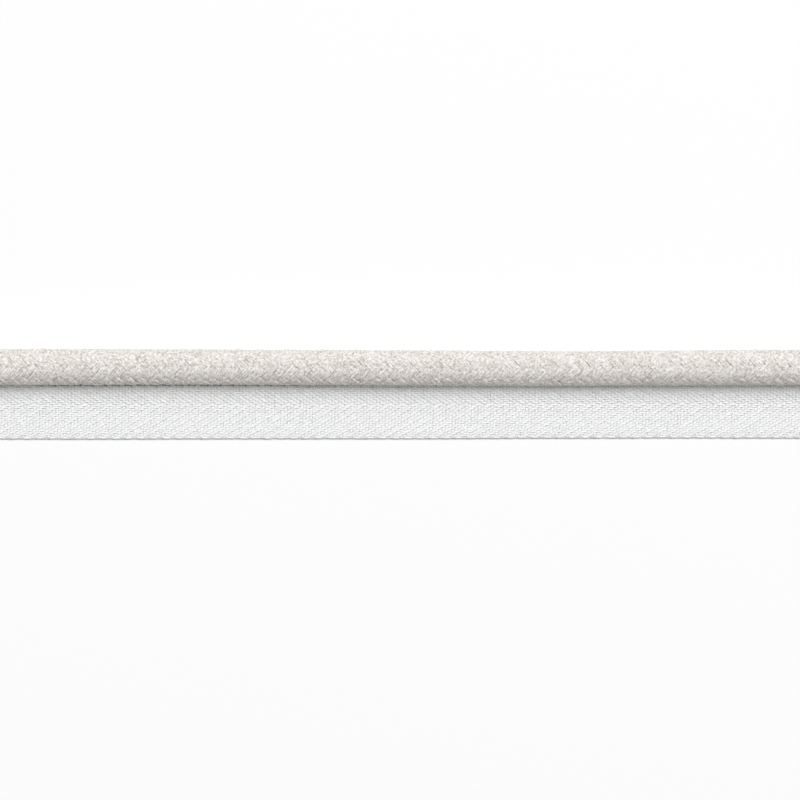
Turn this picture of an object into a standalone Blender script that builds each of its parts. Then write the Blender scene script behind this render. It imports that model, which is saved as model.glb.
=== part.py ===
# Lip cord: a round braided cord with a woven tape fastened along its side, one cut length.
# +X runs along the cord. The cord is on the +Y side, and the tape's free lip points to -Y.
# The origin is the middle of the footprint, on the surface that both lie on. All sizes are in metres.

import math
from collections import namedtuple

import bmesh
import bpy
from mathutils import Vector

# Driving sizes
cut_length = 0.1524
cord_diameter = 0.0061
tape_thickness = 0.00105
cord_flat_depth = 0.00020  # how far the cord's own weight presses its underside flat

# The tape's section, 9.525 mm wide. It lies flat along its free side and rises a little to the cord's side,
# where it stops just short of the braid. reach: distance from the cord's axis. rise: height of the underside.
Across = namedtuple("Across", "reach rise")
section = (
    Across(reach=0.012750, rise=0.0),
    Across(reach=0.008200, rise=0.0),
    Across(reach=0.007000, rise=0.00006),
    Across(reach=0.005800, rise=0.00018),
    Across(reach=0.004500, rise=0.00033),
    Across(reach=0.003225, rise=0.00045),
)

# The braid of sixteen strands: eight columns of short slanted floats run along the cord, and neighbouring
# columns slant opposite ways. One border between columns is on top.
braid_columns = 8
floats_along = 73
steps_across_column = 3
rings_per_float = 3
float_height = 0.00009     # crown of a float over the cord's mean radius, and hollow between two of them
column_dip = 0.00007       # groove between neighbouring columns
column_stagger = 0.5       # neighbouring columns stand this part of a float apart
end_phase = 0.25           # the part of its first float that the cut takes off at the -X end

# The tape's weave is left plain, and its two upper long edges are rounded like a selvedge
tape_steps = 24
selvedge_round = 0.00035
selvedge_segments = 2

# Both are matte spun yarn: the cord a warm off-white, the tape a cooler one
Finish = namedtuple("Finish", "name colour roughness")
cord_yarn = Finish(name="cord_yarn", colour=(0.78, 0.75, 0.70), roughness=0.9)
tape_cloth = Finish(name="tape_cloth", colour=(0.80, 0.81, 0.80), roughness=0.85)

sharp_angle = math.radians(60)  # rims of the cut ends and the tape's lower edges turn more, and stay sharp

# How the lying length departs from a straight line, read at nine places along it.
# cord: sideways shift of the cord's axis. swell: change of its diameter. lip: sideways shift of the selvedge.
Place = namedtuple("Place", "x cord swell lip")
lie = (
    Place(x=-0.0762, cord=0.00010, swell=0.00026, lip=-0.00006),
    Place(x=-0.0560, cord=0.00012, swell=0.00014, lip=-0.00008),
    Place(x=-0.0360, cord=0.00012, swell=0.00002, lip=-0.00004),
    Place(x=-0.0180, cord=0.00004, swell=0.00000, lip=-0.00003),
    Place(x=0.0000, cord=-0.00005, swell=0.00002, lip=-0.00002),
    Place(x=0.0290, cord=-0.00014, swell=-0.00014, lip=0.00008),
    Place(x=0.0480, cord=-0.00005, swell=-0.00004, lip=0.00012),
    Place(x=0.0640, cord=0.00003, swell=0.00003, lip=0.00010),
    Place(x=0.0762, cord=0.00005, swell=0.00004, lip=0.00008),
)


def clear_scene():
    for old in list(bpy.data.objects):
        bpy.data.objects.remove(old, do_unlink=True)


def new_collection(name):
    collection = bpy.data.collections.new(name)
    bpy.context.scene.collection.children.link(collection)
    return collection


def cloth_material(finish):
    material = bpy.data.materials.new(finish.name)
    material.use_nodes = True
    shader = material.node_tree.nodes["Principled BSDF"]
    shader.inputs["Base Color"].default_value = (*finish.colour, 1.0)
    shader.inputs["Roughness"].default_value = finish.roughness
    shader.inputs["Metallic"].default_value = 0.0
    return material


def lie_at(x, column):
    """The value of one column of the table at x, eased between its places."""
    x = min(max(x, lie[0].x), lie[-1].x)
    for low, high in zip(lie, lie[1:]):
        if x <= high.x:
            break
    share = (x - low.x) / (high.x - low.x)
    eased = share * share * (3.0 - 2.0 * share)
    return getattr(low, column) * (1.0 - eased) + getattr(high, column) * eased


def add_piece(name, bm, finish, collection):
    bmesh.ops.recalc_face_normals(bm, faces=bm.faces)
    mesh = bpy.data.meshes.new(name)
    bm.to_mesh(mesh)
    bm.free()
    mesh.materials.append(cloth_material(finish))
    mesh.shade_smooth()
    mesh.set_sharp_from_angle(angle=sharp_angle)
    piece = bpy.data.objects.new(name, mesh)
    collection.objects.link(piece)
    return piece


def braid_relief(step, x):
    """How far the braid stands off the cord's mean radius, at a step round the cord and at x along it."""
    column, inside = divmod(step, steps_across_column)
    if inside == 0:
        return -column_dip
    across = inside / steps_across_column - 0.5
    odd_column = column % 2
    slant = 1.0 if odd_column else -1.0
    floats = (x / cut_length + 0.5) * floats_along
    place_in_float = floats + end_phase - column_stagger * odd_column - slant * across
    return float_height * math.cos(2.0 * math.pi * place_in_float)


def make_cord(collection):
    """The braided cord: a cylinder of many rings, its points raised and lowered by the braid."""
    around = steps_across_column * braid_columns
    rings = rings_per_float * floats_along
    bm = bmesh.new()
    bmesh.ops.create_cone(
        bm, cap_ends=True, segments=around, radius1=1.0, radius2=1.0, depth=cut_length
    )
    long_edges = [e for e in bm.edges if abs(e.verts[0].co.z - e.verts[1].co.z) > cut_length / 2]
    bmesh.ops.subdivide_edges(bm, edges=long_edges, cuts=rings - 1, use_grid_fill=True)

    axis_height = cord_diameter / 2 - cord_flat_depth
    for vert in bm.verts:
        x = vert.co.z
        turn = math.atan2(vert.co.y, vert.co.x) / (2.0 * math.pi)
        step = round(turn * around) % around
        angle = 2.0 * math.pi * step / around
        radius = (cord_diameter + lie_at(x, "swell")) / 2 + braid_relief(step, x)
        y = radius * math.sin(angle) + lie_at(x, "cord")
        z = axis_height + radius * math.cos(angle)
        vert.co = Vector((x, y, max(z, 0.0)))
    return add_piece("cord", bm, cord_yarn, collection)


def make_tape(collection):
    """The lip: a strip bent to its section. Its free edge wanders a little, and its inner edge follows the cord."""
    rows = len(section) - 1
    free_reach = section[0].reach
    inner_reach = section[-1].reach
    bm = bmesh.new()
    bmesh.ops.create_grid(bm, x_segments=tape_steps, y_segments=rows, size=0.5)
    for vert in bm.verts:
        x = vert.co.x * cut_length
        across = section[round((vert.co.y + 0.5) * rows)]
        freedom = (across.reach - inner_reach) / (free_reach - inner_reach)
        shift = lie_at(x, "cord") * (1.0 - freedom) + lie_at(x, "lip") * freedom
        vert.co = Vector((x, shift - across.reach, across.rise))
    lifted = bmesh.ops.extrude_face_region(bm, geom=list(bm.faces), use_keep_orig=True)
    top = [g for g in lifted["geom"] if isinstance(g, bmesh.types.BMVert)]
    bmesh.ops.translate(bm, verts=top, vec=(0.0, 0.0, tape_thickness))
    bmesh.ops.recalc_face_normals(bm, faces=bm.faces)
    step_length = cut_length / tape_steps
    upper_rims = [
        e
        for e in bm.edges
        if min(v.co.z for v in e.verts) > tape_thickness / 2
        and abs(e.verts[0].co.x - e.verts[1].co.x) > step_length / 2
        and e.calc_face_angle() > sharp_angle
    ]
    bmesh.ops.bevel(
        bm,
        geom=upper_rims,
        offset=selvedge_round,
        offset_type="OFFSET",
        segments=selvedge_segments,
        profile=0.5,
        affect="EDGES",
        material=-1,
    )
    return add_piece("lip_tape", bm, tape_cloth, collection)


def centre_footprint(pieces):
    """Puts the middle of the footprint on the origin, and leaves the heights as they are."""
    points = [v.co for piece in pieces for v in piece.data.vertices]
    middle_x = (min(p.x for p in points) + max(p.x for p in points)) / 2
    middle_y = (min(p.y for p in points) + max(p.y for p in points)) / 2
    for piece in pieces:
        for vert in piece.data.vertices:
            vert.co -= Vector((middle_x, middle_y, 0.0))


def main():
    clear_scene()
    collection = new_collection("lip_cord")
    pieces = [make_tape(collection), make_cord(collection)]
    centre_footprint(pieces)


main()
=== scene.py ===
# Lip cord: a round braided cord with a herringbone twill tape along its side, one cut length lying down.
# +X runs along the cord, +Y from the free lip to the cord, +Z up. Sizes below are in millimetres.
import math

import bmesh
import bpy
import numpy as np
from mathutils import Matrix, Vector


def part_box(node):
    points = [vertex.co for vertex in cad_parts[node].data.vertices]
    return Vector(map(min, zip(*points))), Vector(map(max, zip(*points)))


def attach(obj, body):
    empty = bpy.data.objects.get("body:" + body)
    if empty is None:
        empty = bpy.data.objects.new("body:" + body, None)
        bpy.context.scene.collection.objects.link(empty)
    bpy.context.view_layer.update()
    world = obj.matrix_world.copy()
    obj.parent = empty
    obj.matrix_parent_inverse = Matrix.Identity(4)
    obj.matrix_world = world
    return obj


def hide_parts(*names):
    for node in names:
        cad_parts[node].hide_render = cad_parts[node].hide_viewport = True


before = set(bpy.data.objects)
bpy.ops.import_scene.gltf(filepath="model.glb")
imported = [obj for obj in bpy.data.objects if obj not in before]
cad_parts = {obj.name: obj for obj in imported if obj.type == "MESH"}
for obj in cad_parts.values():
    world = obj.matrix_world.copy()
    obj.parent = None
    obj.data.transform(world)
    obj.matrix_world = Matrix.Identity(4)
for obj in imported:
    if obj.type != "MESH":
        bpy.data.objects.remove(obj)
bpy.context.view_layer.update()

mm = 0.001
rng = np.random.default_rng(16)

# How the length lies: sideways shift of the cord, swell of its diameter, sideways shift of the selvedge
lie = {
    "x": [-76.2, -56.0, -36.0, -18.0, 0.0, 29.0, 48.0, 64.0, 76.2],
    "cord": [0.10, 0.12, 0.12, 0.04, -0.05, -0.14, -0.05, 0.03, 0.05],
    "swell": [0.26, 0.14, 0.02, 0.00, 0.02, -0.14, -0.04, 0.03, 0.04],
    "lip": [-0.06, -0.08, -0.04, -0.03, -0.02, 0.08, 0.12, 0.10, 0.08],
}
lipReach = 12.75  # from the cord's axis across to the tape's free selvedge

tapeLow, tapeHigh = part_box("lip_tape")
cutLength = (tapeHigh.x - tapeLow.x) / mm
selvedgeY = tapeLow.y / mm - min(lie["lip"])
cordAxisY = selvedgeY + lipReach


# Stage: white table, soft light from the cord's side, camera straight above

stage = {
    "viewWide": 142.9,       # what the photo's 800 pixels hold
    "aimBelowAxis": 5.89,    # the picture's middle is this far below the cord's axis
    "cameraHeight": 700,
    "sensorWide": 36,
    "clip": (10, 10000),     # nearest and farthest that the camera sees
    "tableWide": 1200,
    "tableColour": "#efefef",
    "tableRoughness": 0.9,
    "tableDrop": 0.02,       # the table top is this far under the length
    "keyAngle": 28,          # degrees from straight above
    "keyTurn": 12,           # degrees round from the cord's side towards +X
    "keyDistance": 4500,
    "keySize": 3000,
    "keyPower": 199,         # watts
    "skyStrength": 0.37,
}


def fromHex(code):
    channels = [int(code[i : i + 2], 16) / 255 for i in (1, 3, 5)]
    linear = [c / 12.92 if c <= 0.04045 else ((c + 0.055) / 1.055) ** 2.4 for c in channels]
    return (*linear, 1.0)


def addNode(tree, kind, settings=None, links=None):
    node = tree.nodes.new(kind)
    for name, value in (settings or {}).items():
        if isinstance(name, int) or name in node.inputs:
            node.inputs[name].default_value = value
        else:
            setattr(node, name, value)
    for name, source in (links or {}).items():
        tree.links.new(source, node.inputs[name])
    return node


def buildCamera():
    lens = bpy.data.cameras.new("overhead")
    lens.sensor_width = stage["sensorWide"]
    lens.lens = stage["sensorWide"] * stage["cameraHeight"] / stage["viewWide"]
    lens.clip_start, lens.clip_end = [distance * mm for distance in stage["clip"]]
    camera = bpy.data.objects.new("overhead", lens)
    camera.location = (0, (cordAxisY - stage["aimBelowAxis"]) * mm, stage["cameraHeight"] * mm)
    bpy.context.scene.collection.objects.link(camera)
    bpy.context.scene.camera = camera


def buildTable():
    tableTop = (0, 0, -stage["tableDrop"] * mm)
    bpy.ops.mesh.primitive_plane_add(size=stage["tableWide"] * mm, location=tableTop)
    table = bpy.context.object
    table.name = "table"
    paint = bpy.data.materials.new("matteWhiteTable")  # an even pale ground that keeps the shadows soft
    paint.use_nodes = True
    shader = paint.node_tree.nodes["Principled BSDF"]
    shader.inputs["Base Color"].default_value = fromHex(stage["tableColour"])
    shader.inputs["Roughness"].default_value = stage["tableRoughness"]
    table.data.materials.append(paint)
    return table


def buildLight():
    lamp = bpy.data.lights.new("softLight", "AREA")
    lamp.shape = "SQUARE"
    lamp.size = stage["keySize"] * mm
    lamp.energy = stage["keyPower"]
    angle, turn = math.radians(stage["keyAngle"]), math.radians(stage["keyTurn"])
    aside = math.sin(angle)
    towards = Vector((aside * math.sin(turn), aside * math.cos(turn), math.cos(angle)))
    key = bpy.data.objects.new("softLight", lamp)
    key.location = towards * stage["keyDistance"] * mm
    key.rotation_euler = towards.to_track_quat("Z", "Y").to_euler()
    bpy.context.scene.collection.objects.link(key)

    studio = bpy.data.worlds.new("studio")
    studio.use_nodes = True
    background = studio.node_tree.nodes["Background"]
    background.inputs["Color"].default_value = (1, 1, 1, 1)
    background.inputs["Strength"].default_value = stage["skyStrength"]
    bpy.context.scene.world = studio
    bpy.context.scene.view_settings.view_transform = "Standard"


# Yarn

spinning = {
    "mapStart": 400,        # each yarn's map starts somewhere in this length, so that no two look alike
    "weldWithin": 0.0001,
    "trimWithin": 0.00001,
}


def eased(share):
    return share * share * (3 - 2 * share)


def lieAt(x, name):
    places, values = np.array(lie["x"]), np.array(lie[name])
    low = np.clip(np.searchsorted(places, x) - 1, 0, len(places) - 2)
    share = eased(np.clip((x - places[low]) / (places[low + 1] - places[low]), 0, 1))
    return values[low] * (1 - share) + values[low + 1] * share


def wander(count, points, unevenness):
    # slow drift, one row for each yarn: a new random value every few points, eased between them
    step, amount = unevenness
    knots = rng.normal(0, amount, (count, points // step + 3))
    place = np.arange(points) / step
    low = place.astype(int)
    share = eased(place - low)
    return knots[:, low] * (1 - share) + knots[:, low + 1] * share


def unit(vectors):
    return vectors / np.linalg.norm(vectors, axis=-1, keepdims=True)


def upwards(line):
    made = np.zeros_like(line)
    made[..., 2] = 1
    return made


def spinYarns(name, line, outward, halfWide, halfHigh, sides, tint):
    # line holds each yarn's points, and outward the way that its upper side faces
    yarns, points = line.shape[:2]
    bm = bmesh.new()
    bm.loops.layers.uv.new("UVMap")
    for yarn in range(yarns):
        bmesh.ops.create_grid(bm, x_segments=points - 1, y_segments=sides, size=0.5, calc_uvs=True)
    mesh = bpy.data.meshes.new(name)
    bm.to_mesh(mesh)
    bm.free()

    # roll each strip of the grid into a tube round its yarn's line
    along = unit(np.gradient(line, axis=1))
    sideways = unit(np.cross(along, outward))
    upward = np.cross(sideways, along)
    corner = 2 * math.pi * np.arange(sides + 1) / sides
    wide = (halfWide[:, None] * np.cos(corner)[None, :, None])[..., None]
    high = (halfHigh[:, None] * np.sin(corner)[None, :, None])[..., None]
    rolled = line[:, None] + wide * sideways[:, None] + high * upward[:, None]
    mesh.vertices.foreach_set("co", (rolled * mm).astype(np.float32).ravel())
    shade = mesh.attributes.new("tint", "FLOAT", "POINT")
    shade.data.foreach_set("value", np.repeat(tint, (sides + 1) * points).astype(np.float32))

    # the yarn's own map in millimetres, along it and round it
    length = np.linalg.norm(np.diff(line, axis=1), axis=-1).sum(axis=1)
    girth = math.pi * (halfWide.mean() + halfHigh.mean())
    uv = np.empty(len(mesh.loops) * 2, np.float32)
    mesh.uv_layers[0].uv.foreach_get("vector", uv)
    uv = uv.reshape(yarns, -1, 2) * np.stack([length, np.full(yarns, girth)], axis=-1)[:, None]
    uv[..., 0] += rng.uniform(0, spinning["mapStart"], yarns)[:, None]
    mesh.uv_layers[0].uv.foreach_set("vector", uv.astype(np.float32).ravel())

    # close the seam along each yarn, and its two ends
    bm = bmesh.new()
    bm.from_mesh(mesh)
    bmesh.ops.remove_doubles(bm, verts=bm.verts, dist=spinning["weldWithin"] * mm)
    bmesh.ops.holes_fill(bm, edges=[e for e in bm.edges if e.is_boundary], sides=0)
    bmesh.ops.recalc_face_normals(bm, faces=bm.faces)
    bm.to_mesh(mesh)
    bm.free()
    mesh.shade_smooth()
    piece = bpy.data.objects.new(name, mesh)
    bpy.context.scene.collection.objects.link(piece)
    return piece


def trimEnds(piece):
    # scissors: both ends are cut square at the frame's own length
    bm = bmesh.new()
    bm.from_mesh(piece.data)
    for side in (-1, 1):
        cut = bmesh.ops.bisect_plane(
            bm,
            geom=bm.verts[:] + bm.edges[:] + bm.faces[:],
            dist=spinning["trimWithin"] * mm,
            plane_co=(side * cutLength / 2 * mm, 0, 0),
            plane_no=(side, 0, 0),
            clear_outer=True,
        )
        rim = [e for e in cut["geom_cut"] if isinstance(e, bmesh.types.BMEdge)]
        bmesh.ops.holes_fill(bm, edges=rim, sides=0)
    bm.to_mesh(piece.data)
    bm.free()
    piece.data.shade_smooth()


# Braided cord: sixteen strands, half of them each way round, over two and under two

braid = {
    "strands": 8,            # each way round
    "ends": 4,               # spun yarns side by side in a strand
    "floatsAlong": 73,       # floats of one column over the cut length
    "startPhase": 0.25,      # part of a float that the cut takes off
    "diameter": 6.3,
    "axisHeight": 2.85,      # less than half the diameter, because the underside is pressed flat
    "drawnIn": 0.13,         # how far the cord leans in over the tape's edge
    "endPitch": 0.385,       # from one end of a strand to the next
    "closing": 0.14,         # how much closer the ends lie where the strand dives, as a share
    "yarnWide": 0.58,
    "yarnHigh": 0.36,
    "swing": 0.14,           # how far a strand goes out and in as it passes over and under
    "hold": 1.7,             # how long it stays out or in: with more, it dives faster
    "crown": 0.05,           # how far the middle of a strand stands over its sides
    "step": 0.376,           # length of yarn between points
    "sides": 5,              # corners of a yarn's section
    "spare": 1.0,            # laid past each end, then trimmed
    # unevenness: points from one random value to the next, and how much
    "straying": (5, 0.045),  # of an end from its place in the strand
    "heaving": (3, 0.027),   # of an end out and in
    "lumps": (3, 0.16),      # of its width and its height, as a share
    "strandTint": 0.5,       # how much the tint varies from strand to strand
    "endTint": 0.6,          # and from end to end
}


def layStrands(name, side):
    # side is 1 for the strands that rise to the right as seen from above, and -1 for those that fall
    b = braid
    floatPitch = cutLength / b["floatsAlong"]
    turnRate = 2 * math.pi / (b["strands"] * floatPitch)
    crownRadius = b["diameter"] / 2 - b["swing"] - b["yarnHigh"] / 2
    slope = math.atan(crownRadius * turnRate)
    length = cutLength + 2 * b["spare"]
    points = int(length / math.cos(slope) / b["step"])
    x = np.linspace(-length / 2, length / 2, points)[None, :]
    strand = np.repeat(np.arange(b["strands"]), b["ends"])[:, None]
    place = np.tile(np.arange(b["ends"]), b["strands"])[:, None] - (b["ends"] - 1) / 2
    count = len(strand)

    column = 2 * math.pi / b["strands"]
    start = -cutLength / 2 + side * b["startPhase"] * floatPitch
    turn = (strand - side * 0.5) * column + side * turnRate * (x - start)
    swingAt = -side * np.sin(turn * b["strands"] / 2)
    swing = np.tanh(b["hold"] * swingAt) / math.tanh(b["hold"])

    # the ends of a strand lie side by side, flat on the float and closer where it dives
    spread = place * b["endPitch"] * (1 - b["closing"] + b["closing"] * np.abs(swingAt))
    spread = spread + wander(count, points, b["straying"])
    x = x - side * spread * math.sin(slope)
    turn = turn + spread * math.cos(slope) / crownRadius
    domed = b["crown"] * (1 - (place / (b["ends"] / 2)) ** 2)
    height = swing * b["swing"] + domed + wander(count, points, b["heaving"])
    radius = crownRadius + lieAt(x, "swell") / 2 + height
    halfWide = b["yarnWide"] / 2 * (1 + wander(count, points, b["lumps"]))
    halfHigh = b["yarnHigh"] / 2 * (1 + wander(count, points, b["lumps"]))
    y = cordAxisY - b["drawnIn"] + lieAt(x, "cord") + radius * np.sin(turn)
    z = b["axisHeight"] + radius * np.cos(turn)
    z = np.maximum(z, halfHigh)  # the cord's weight presses its underside flat on the table
    line = np.stack([x, y, z], axis=-1)
    outward = np.stack([np.zeros_like(turn), np.sin(turn), np.cos(turn)], axis=-1)
    tint = np.repeat(rng.normal(0, b["strandTint"], b["strands"]), b["ends"])
    tint = tint + rng.normal(0, b["endTint"], count)
    piece = spinYarns(name, line, outward, halfWide, halfHigh, b["sides"], tint)
    trimEnds(piece)
    return piece


# Inner yarns: the cut ends show the cord filled with plain straight yarn, packed in rings

innerYarns = {
    "rings": 3,
    "firstRing": 6,  # yarns in it, and as many more in each ring after it
    "pitch": 0.68,
    "width": 0.74,
    "step": 6.0,
    "sides": 8,
    "tint": 1.0,
}


def layInnerYarns():
    n = innerYarns
    spots = [(0.0, 0.0)]
    for ring in range(1, n["rings"] + 1):
        inRing = n["firstRing"] * ring
        for k in range(inRing):
            angle = 2 * math.pi * k / inRing
            spots.append((ring * n["pitch"] * math.cos(angle), ring * n["pitch"] * math.sin(angle)))
    spots = np.array(spots)
    points = int(cutLength / n["step"])
    x = np.broadcast_to(np.linspace(-cutLength / 2, cutLength / 2, points), (len(spots), points))
    y = cordAxisY - braid["drawnIn"] + lieAt(x, "cord") + spots[:, :1]
    z = braid["axisHeight"] + np.broadcast_to(spots[:, 1:], x.shape)
    line = np.stack([x, y, z], axis=-1)
    half = np.full(x.shape, n["width"] / 2)
    tint = rng.normal(0, n["tint"], len(spots))
    return spinYarns("cord_inner_yarns", line, upwards(line), half, half, n["sides"], tint)


# Woven tape: herringbone twill, two over and two under

weave = {
    "ends": 27,                 # warp yarns across the tape
    "picks": 269,               # weft yarns along the cut length
    "repeat": 4,                # picks after which an end's floats repeat
    "over": 2,                  # picks that an end passes over in each repeat
    "width": 9.525,
    "joined": 0.475,            # the weft's turns on the cord's side reach this much further, into the cord
    "closeness": 0.88,          # pitch of the ends at the free selvedge, as a share of their mean pitch
    "reversals": (18,),         # ends, counted from the free selvedge, where the herringbone turns back
    "reversalShift": 2,         # picks that the twill steps there, and elsewhere it steps one
    "warpWide": 0.38,
    "warpHigh": 0.32,
    "warpRise": 0.165,
    "weftWide": 0.68,
    "weftHigh": 0.30,
    "weftRise": 0.12,
    "floatSlant": 0.045,        # how far a float leans towards the twill's line
    "edgeCalm": 1.0,            # the floats lean and rise less within this distance of the free selvedge
    "edgeFirm": 0.6,            # share of their rise that the yarns lose in the selvedge itself
    "pickBow": (0.5, 1.6),      # how far the picks lag at the free selvedge, and how far in that reaches
    "squareEnd": 5.0,           # they lie squarer within this distance of a cut end
    "turnNarrow": 0.6,          # the weft is drawn tight in its turns: its thickness there, as a share
    "turnAt": (0.2, 0.5, 0.8),  # its points in a turn, as shares of the pick pitch
    "turnFull": 0.7,            # 1 would make a turn a half wave, and less makes it squarer
    "sides": 5,                 # corners of a yarn's section
    # height of the cloth's middle over the table, by distance from the free selvedge
    "lieAcross": [0, 1, 2.25, 4.55, 6.35, 8.25, 9.525],
    "lieMiddle": [0.21, 0.34, 0.39, 0.50, 0.78, 1.16, 1.50],
    # unevenness: points from one random value to the next, and how much
    "warpStraying": (6, 0.012),
    "warpHeaving": (3, 0.01),
    "warpWideLumps": (3, 0.10),
    "warpHighLumps": (3, 0.08),
    "weftHeaving": (3, 0.008),
    "weftStraying": (5, 0.014),
    "weftWideLumps": (6, 0.10),
    "weftHighLumps": (6, 0.06),
    "warpTint": 1.0,
}


def twill():
    # over: 1 where the warp end is over the pick, and -1 where it is under
    # ways: the side to which the twill slants at each end
    w = weave
    shift, step = 0, 1
    rows, ways = [], []
    for end in range(w["ends"]):
        if end in w["reversals"]:
            step = -step
            shift += w["reversalShift"]
        else:
            shift += step
        rows.append((np.arange(w["picks"]) - shift) % w["repeat"] < w["over"])
        ways.append(step)
    return np.where(np.array(rows), 1.0, -1.0), np.array(ways, float)


def endPlaces():
    share = (np.arange(weave["ends"]) + 0.5) / weave["ends"]
    close = weave["closeness"]
    return weave["width"] * (close * share + (1 - close) * share**2)


def looseness(across):
    # 0 in the free selvedge, 1 in the open cloth
    return np.clip(across / weave["edgeCalm"], 0, 1)


def crimp(across):
    return 1 - weave["edgeFirm"] * (1 - looseness(across))


def floatLean(lift, across, ways):
    # a float leans one way where it begins and the other where it ends, read one crossing to each side
    crossing = 2  # half steps
    padded = np.pad(lift, ((0, 0), (crossing, crossing)), mode="edge")
    change = padded[:, : -2 * crossing] - padded[:, 2 * crossing :]
    return weave["floatSlant"] * looseness(across) * ways * change / 2


def pickLag(x, across):
    lag, reach = weave["pickBow"]
    fade = np.clip((cutLength / 2 - np.abs(x)) / weave["squareEnd"], 0, 1)
    return lag * fade * np.exp(-across / reach)


def clothMiddle(across):
    return np.interp(across, weave["lieAcross"], weave["lieMiddle"])


def halfSteps(lift):
    # each row's values with the values between them
    made = np.empty((len(lift), lift.shape[1] * 2 - 1))
    made[:, 0::2] = lift
    made[:, 1::2] = (lift[:, 1:] + lift[:, :-1]) / 2
    return made


def weaveWarp(over, ways):
    w = weave
    pickPitch = cutLength / w["picks"]
    lift = halfSteps(over)
    lift = np.concatenate([lift[:, :1], lift, lift[:, -1:]], axis=1)  # and a point at each cut end
    count, points = lift.shape
    across = endPlaces()[:, None]
    x = np.arange(points) / 2 * pickPitch - cutLength / 2
    x = x - pickLag(x, across)
    y = selvedgeY + lieAt(x, "lip") + across + floatLean(lift, across, ways[:, None])
    y = y + wander(count, points, w["warpStraying"])
    z = clothMiddle(across) + w["warpRise"] * crimp(across) * lift
    z = z + wander(count, points, w["warpHeaving"])
    line = np.stack([x, y, z], axis=-1)
    halfWide = w["warpWide"] / 2 * (1 + wander(count, points, w["warpWideLumps"]))
    halfHigh = w["warpHigh"] / 2 * (1 + wander(count, points, w["warpHighLumps"]))
    tint = rng.normal(0, w["warpTint"], count)
    return spinYarns("tape_warp", line, upwards(line), halfWide, halfHigh, w["sides"], tint)


def weaveWeft(over, ways):
    # one yarn goes back and forth, and turns round the outermost end at each selvedge
    w = weave
    pickPitch = cutLength / w["picks"]
    across = halfSteps(endPlaces()[None])[0]
    lift = halfSteps(-over.T)
    lean = floatLean(lift, across[None], halfSteps(ways[None]))
    turn = np.array(w["turnAt"])
    reachOut = np.sin(math.pi * turn) ** w["turnFull"]
    turnHalf = w["weftWide"] * w["turnNarrow"] / 2
    freeBulge = turnHalf - across[0]
    joinedBulge = w["width"] + w["joined"] - turnHalf - across[-1]
    parts = []
    for pick in range(w["picks"]):
        heading = 1 if pick % 2 == 0 else -1
        row = lift[pick][::heading]
        x = (pick + 0.5) * pickPitch + lean[pick][::heading]
        parts.append(np.stack([x, across[::heading], row, np.ones(len(row))]))
        if pick + 1 < w["picks"]:
            nextRow = lift[pick + 1][::-heading]
            height = row[-1] * (1 - turn) + nextRow[0] * turn
            bulge = joinedBulge if heading == 1 else freeBulge
            x = (pick + 0.5 + turn) * pickPitch
            y = across[::heading][-1] + bulge * reachOut
            parts.append(np.stack([x, y, height, np.full(len(turn), w["turnNarrow"])]))
    x, y, z, full = np.concatenate(parts, axis=1)[:, None, :]
    points = x.shape[1]
    z = clothMiddle(y) + w["weftRise"] * crimp(y) * z + wander(1, points, w["weftHeaving"])
    x = x - cutLength / 2 + wander(1, points, w["weftStraying"])
    x = x - pickLag(x, y)
    y = y + selvedgeY + lieAt(x, "lip")
    line = np.stack([x, y, z], axis=-1)
    halfWide = w["weftWide"] / 2 * full * (1 + wander(1, points, w["weftWideLumps"]))
    halfHigh = w["weftHigh"] / 2 * full * (1 + wander(1, points, w["weftHighLumps"]))
    return spinYarns("tape_weft", line, upwards(line), halfWide, halfHigh, w["sides"], np.zeros(1))


# Finishes

# what both yarns have from being cotton: hardly any shine, and a tone that varies from fibre to fibre. The
# same fibre pattern also raises the bump, so the colour is painted shade in the bump's grooves and painted
# highlight on its crests
spunCotton = {
    "roughness": 0.92,
    "specular": 0.25,
    "sheen": 0.04,
    "sheenRoughness": 0.6,
    "fibreDetail": 3.0,
    "fibreRoughness": 0.6,
    "fleckDetail": 2.0,
    # the dark end falls in the fibre bump's grooves as painted shade, and the light end on its crests as
    # painted highlight
    "toneAndReliefShadeRange": (0.7, 1.3),  # fibres and flecks together, from the dark colour to the light one
}
# matte spun cotton, loosely twisted and a little hairy: a warm off-white with soft light and dark flecks, and
# its dark and light colours also paint shade in the fibre bump's grooves and highlight on its crests
cordYarnLook = {
    "name": "spunCottonCordYarn",
    "light": "#fffdfa",
    "dark": "#b9b0a6",
    "glow": (0.3, 0.25),    # share of the light that passes into the fibres, and how far it spreads
    "fibre": (0.50, 0.18),  # length and width of a clump of fibres, drawn coarse enough to show
    "twist": 32,            # degrees that the plies stand off the yarn's line
    "fleckSize": 0.45,
    "tintShare": 0.03,
    "bump": 0.9,
    "bumpHeight": 0.14,
}
# matte combed cotton, finer and smoother: a neutral white, woven too close for light to spread in it; its two
# colours also paint faint shade in the fibre bump's grooves and faint highlight on its crests
tapeYarnLook = {
    "name": "combedCottonTapeYarn",
    "light": "#f2f2f2",
    "dark": "#dfe0e0",
    "glow": (0.0, 0.0),
    "fibre": (0.6, 0.2),
    "twist": 28,
    "fleckSize": 0.5,
    "tintShare": 0.02,
    "bump": 0.5,
    "bumpHeight": 0.05,
}


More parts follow.
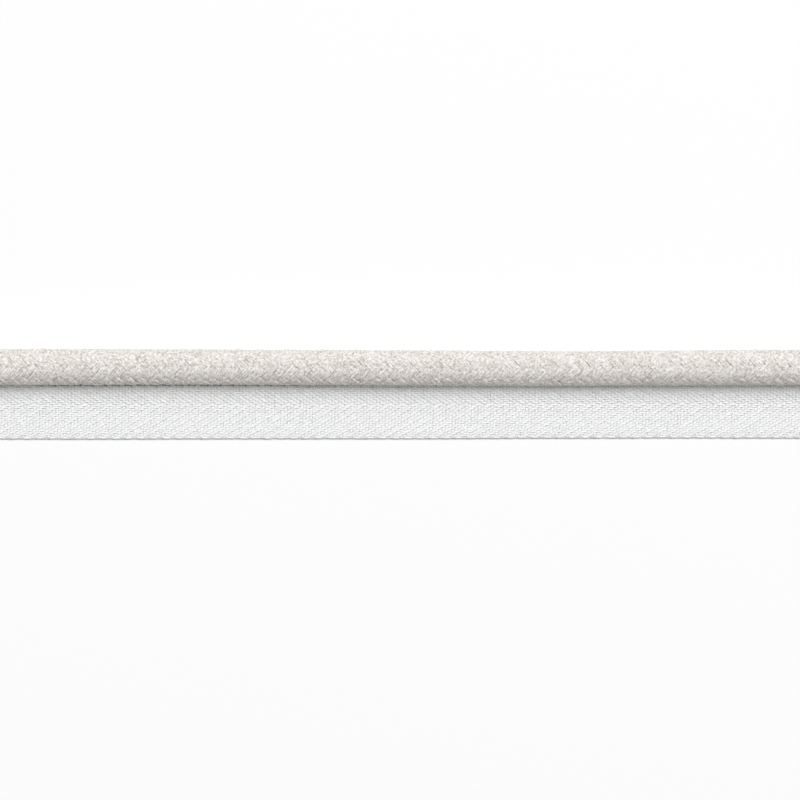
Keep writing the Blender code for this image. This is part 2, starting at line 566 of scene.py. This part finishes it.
def spunYarnFinish(look):
    c = spunCotton
    material = bpy.data.materials.new(look["name"])
    material.use_nodes = True
    tree = material.node_tree
    shader = tree.nodes["Principled BSDF"]
    shader.inputs["Roughness"].default_value = c["roughness"]
    shader.inputs["Specular IOR Level"].default_value = c["specular"]
    shader.inputs["Sheen Weight"].default_value = c["sheen"]
    shader.inputs["Sheen Roughness"].default_value = c["sheenRoughness"]
    share, spread = look["glow"]
    shader.inputs["Subsurface Weight"].default_value = share
    shader.inputs["Subsurface Radius"].default_value = (1.0, 1.0, 1.0)
    shader.inputs["Subsurface Scale"].default_value = spread * mm

    yarnMap = addNode(tree, "ShaderNodeUVMap", {"uv_map": "UVMap"})
    twist = (0, 0, math.radians(look["twist"]))
    slant = addNode(
        tree,
        "ShaderNodeMapping",
        {"vector_type": "TEXTURE", "Rotation": twist, "Scale": (*look["fibre"], 1)},
        {"Vector": yarnMap.outputs["UV"]},
    )
    fibres = addNode(
        tree,
        "ShaderNodeTexNoise",
        {"noise_dimensions": "2D", "Scale": 1.0, "Detail": c["fibreDetail"], "Roughness": c["fibreRoughness"]},
        {"Vector": slant.outputs["Vector"]},
    )
    place = addNode(tree, "ShaderNodeTexCoord")
    flecks = addNode(
        tree,
        "ShaderNodeTexNoise",
        {"Scale": 1 / (look["fleckSize"] * mm), "Detail": c["fleckDetail"]},
        {"Vector": place.outputs["Object"]},
    )
    # colour: random tint and flecks, plus the fibre pattern that also drives the bump, which paints shade in
    # its grooves and highlight on its crests
    tint = addNode(tree, "ShaderNodeAttribute", {"attribute_name": "tint"})
    tinted = addNode(
        tree,
        "ShaderNodeMath",
        {"operation": "MULTIPLY_ADD", 1: look["tintShare"]},
        {0: tint.outputs["Fac"], 2: fibres.outputs["Fac"]},
    )
    summed = addNode(
        tree,
        "ShaderNodeMath",
        {"operation": "ADD"},
        {0: tinted.outputs[0], 1: flecks.outputs["Fac"]},
    )
    darkest, lightest = c["toneAndReliefShadeRange"]
    toneAndReliefShade = addNode(
        tree,
        "ShaderNodeMapRange",
        {"From Min": darkest, "From Max": lightest},
        {"Value": summed.outputs[0]},
    )
    colour = addNode(
        tree,
        "ShaderNodeMix",
        {"data_type": "RGBA", 6: fromHex(look["dark"]), 7: fromHex(look["light"])},
        {0: toneAndReliefShade.outputs["Result"]},
    )
    tree.links.new(colour.outputs[2], shader.inputs["Base Color"])
    bump = addNode(
        tree,
        "ShaderNodeBump",
        {"Strength": look["bump"], "Distance": look["bumpHeight"] * mm},
        {"Height": fibres.outputs["Fac"]},
    )
    tree.links.new(bump.outputs["Normal"], shader.inputs["Normal"])
    return material


def dress(pieces, finish, node):
    for piece in pieces:
        piece.data.materials.append(finish)
        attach(piece, "root")
        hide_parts(node)


def triangles(pieces):
    return [sum(len(face.vertices) - 2 for face in piece.data.polygons) for piece in pieces]


buildCamera()
table = buildTable()
buildLight()
print("stage built")

cordPieces = [layStrands("cord_strands_rising", 1), layStrands("cord_strands_falling", -1), layInnerYarns()]
dress(cordPieces, spunYarnFinish(cordYarnLook), "cord")
print("cord braided:", triangles(cordPieces), "triangles")

over, ways = twill()
warp, weft = weaveWarp(over, ways), weaveWeft(over, ways)
dress([warp, weft], spunYarnFinish(tapeYarnLook), "lip_tape")
print("tape woven:", triangles([warp, weft]), "triangles")
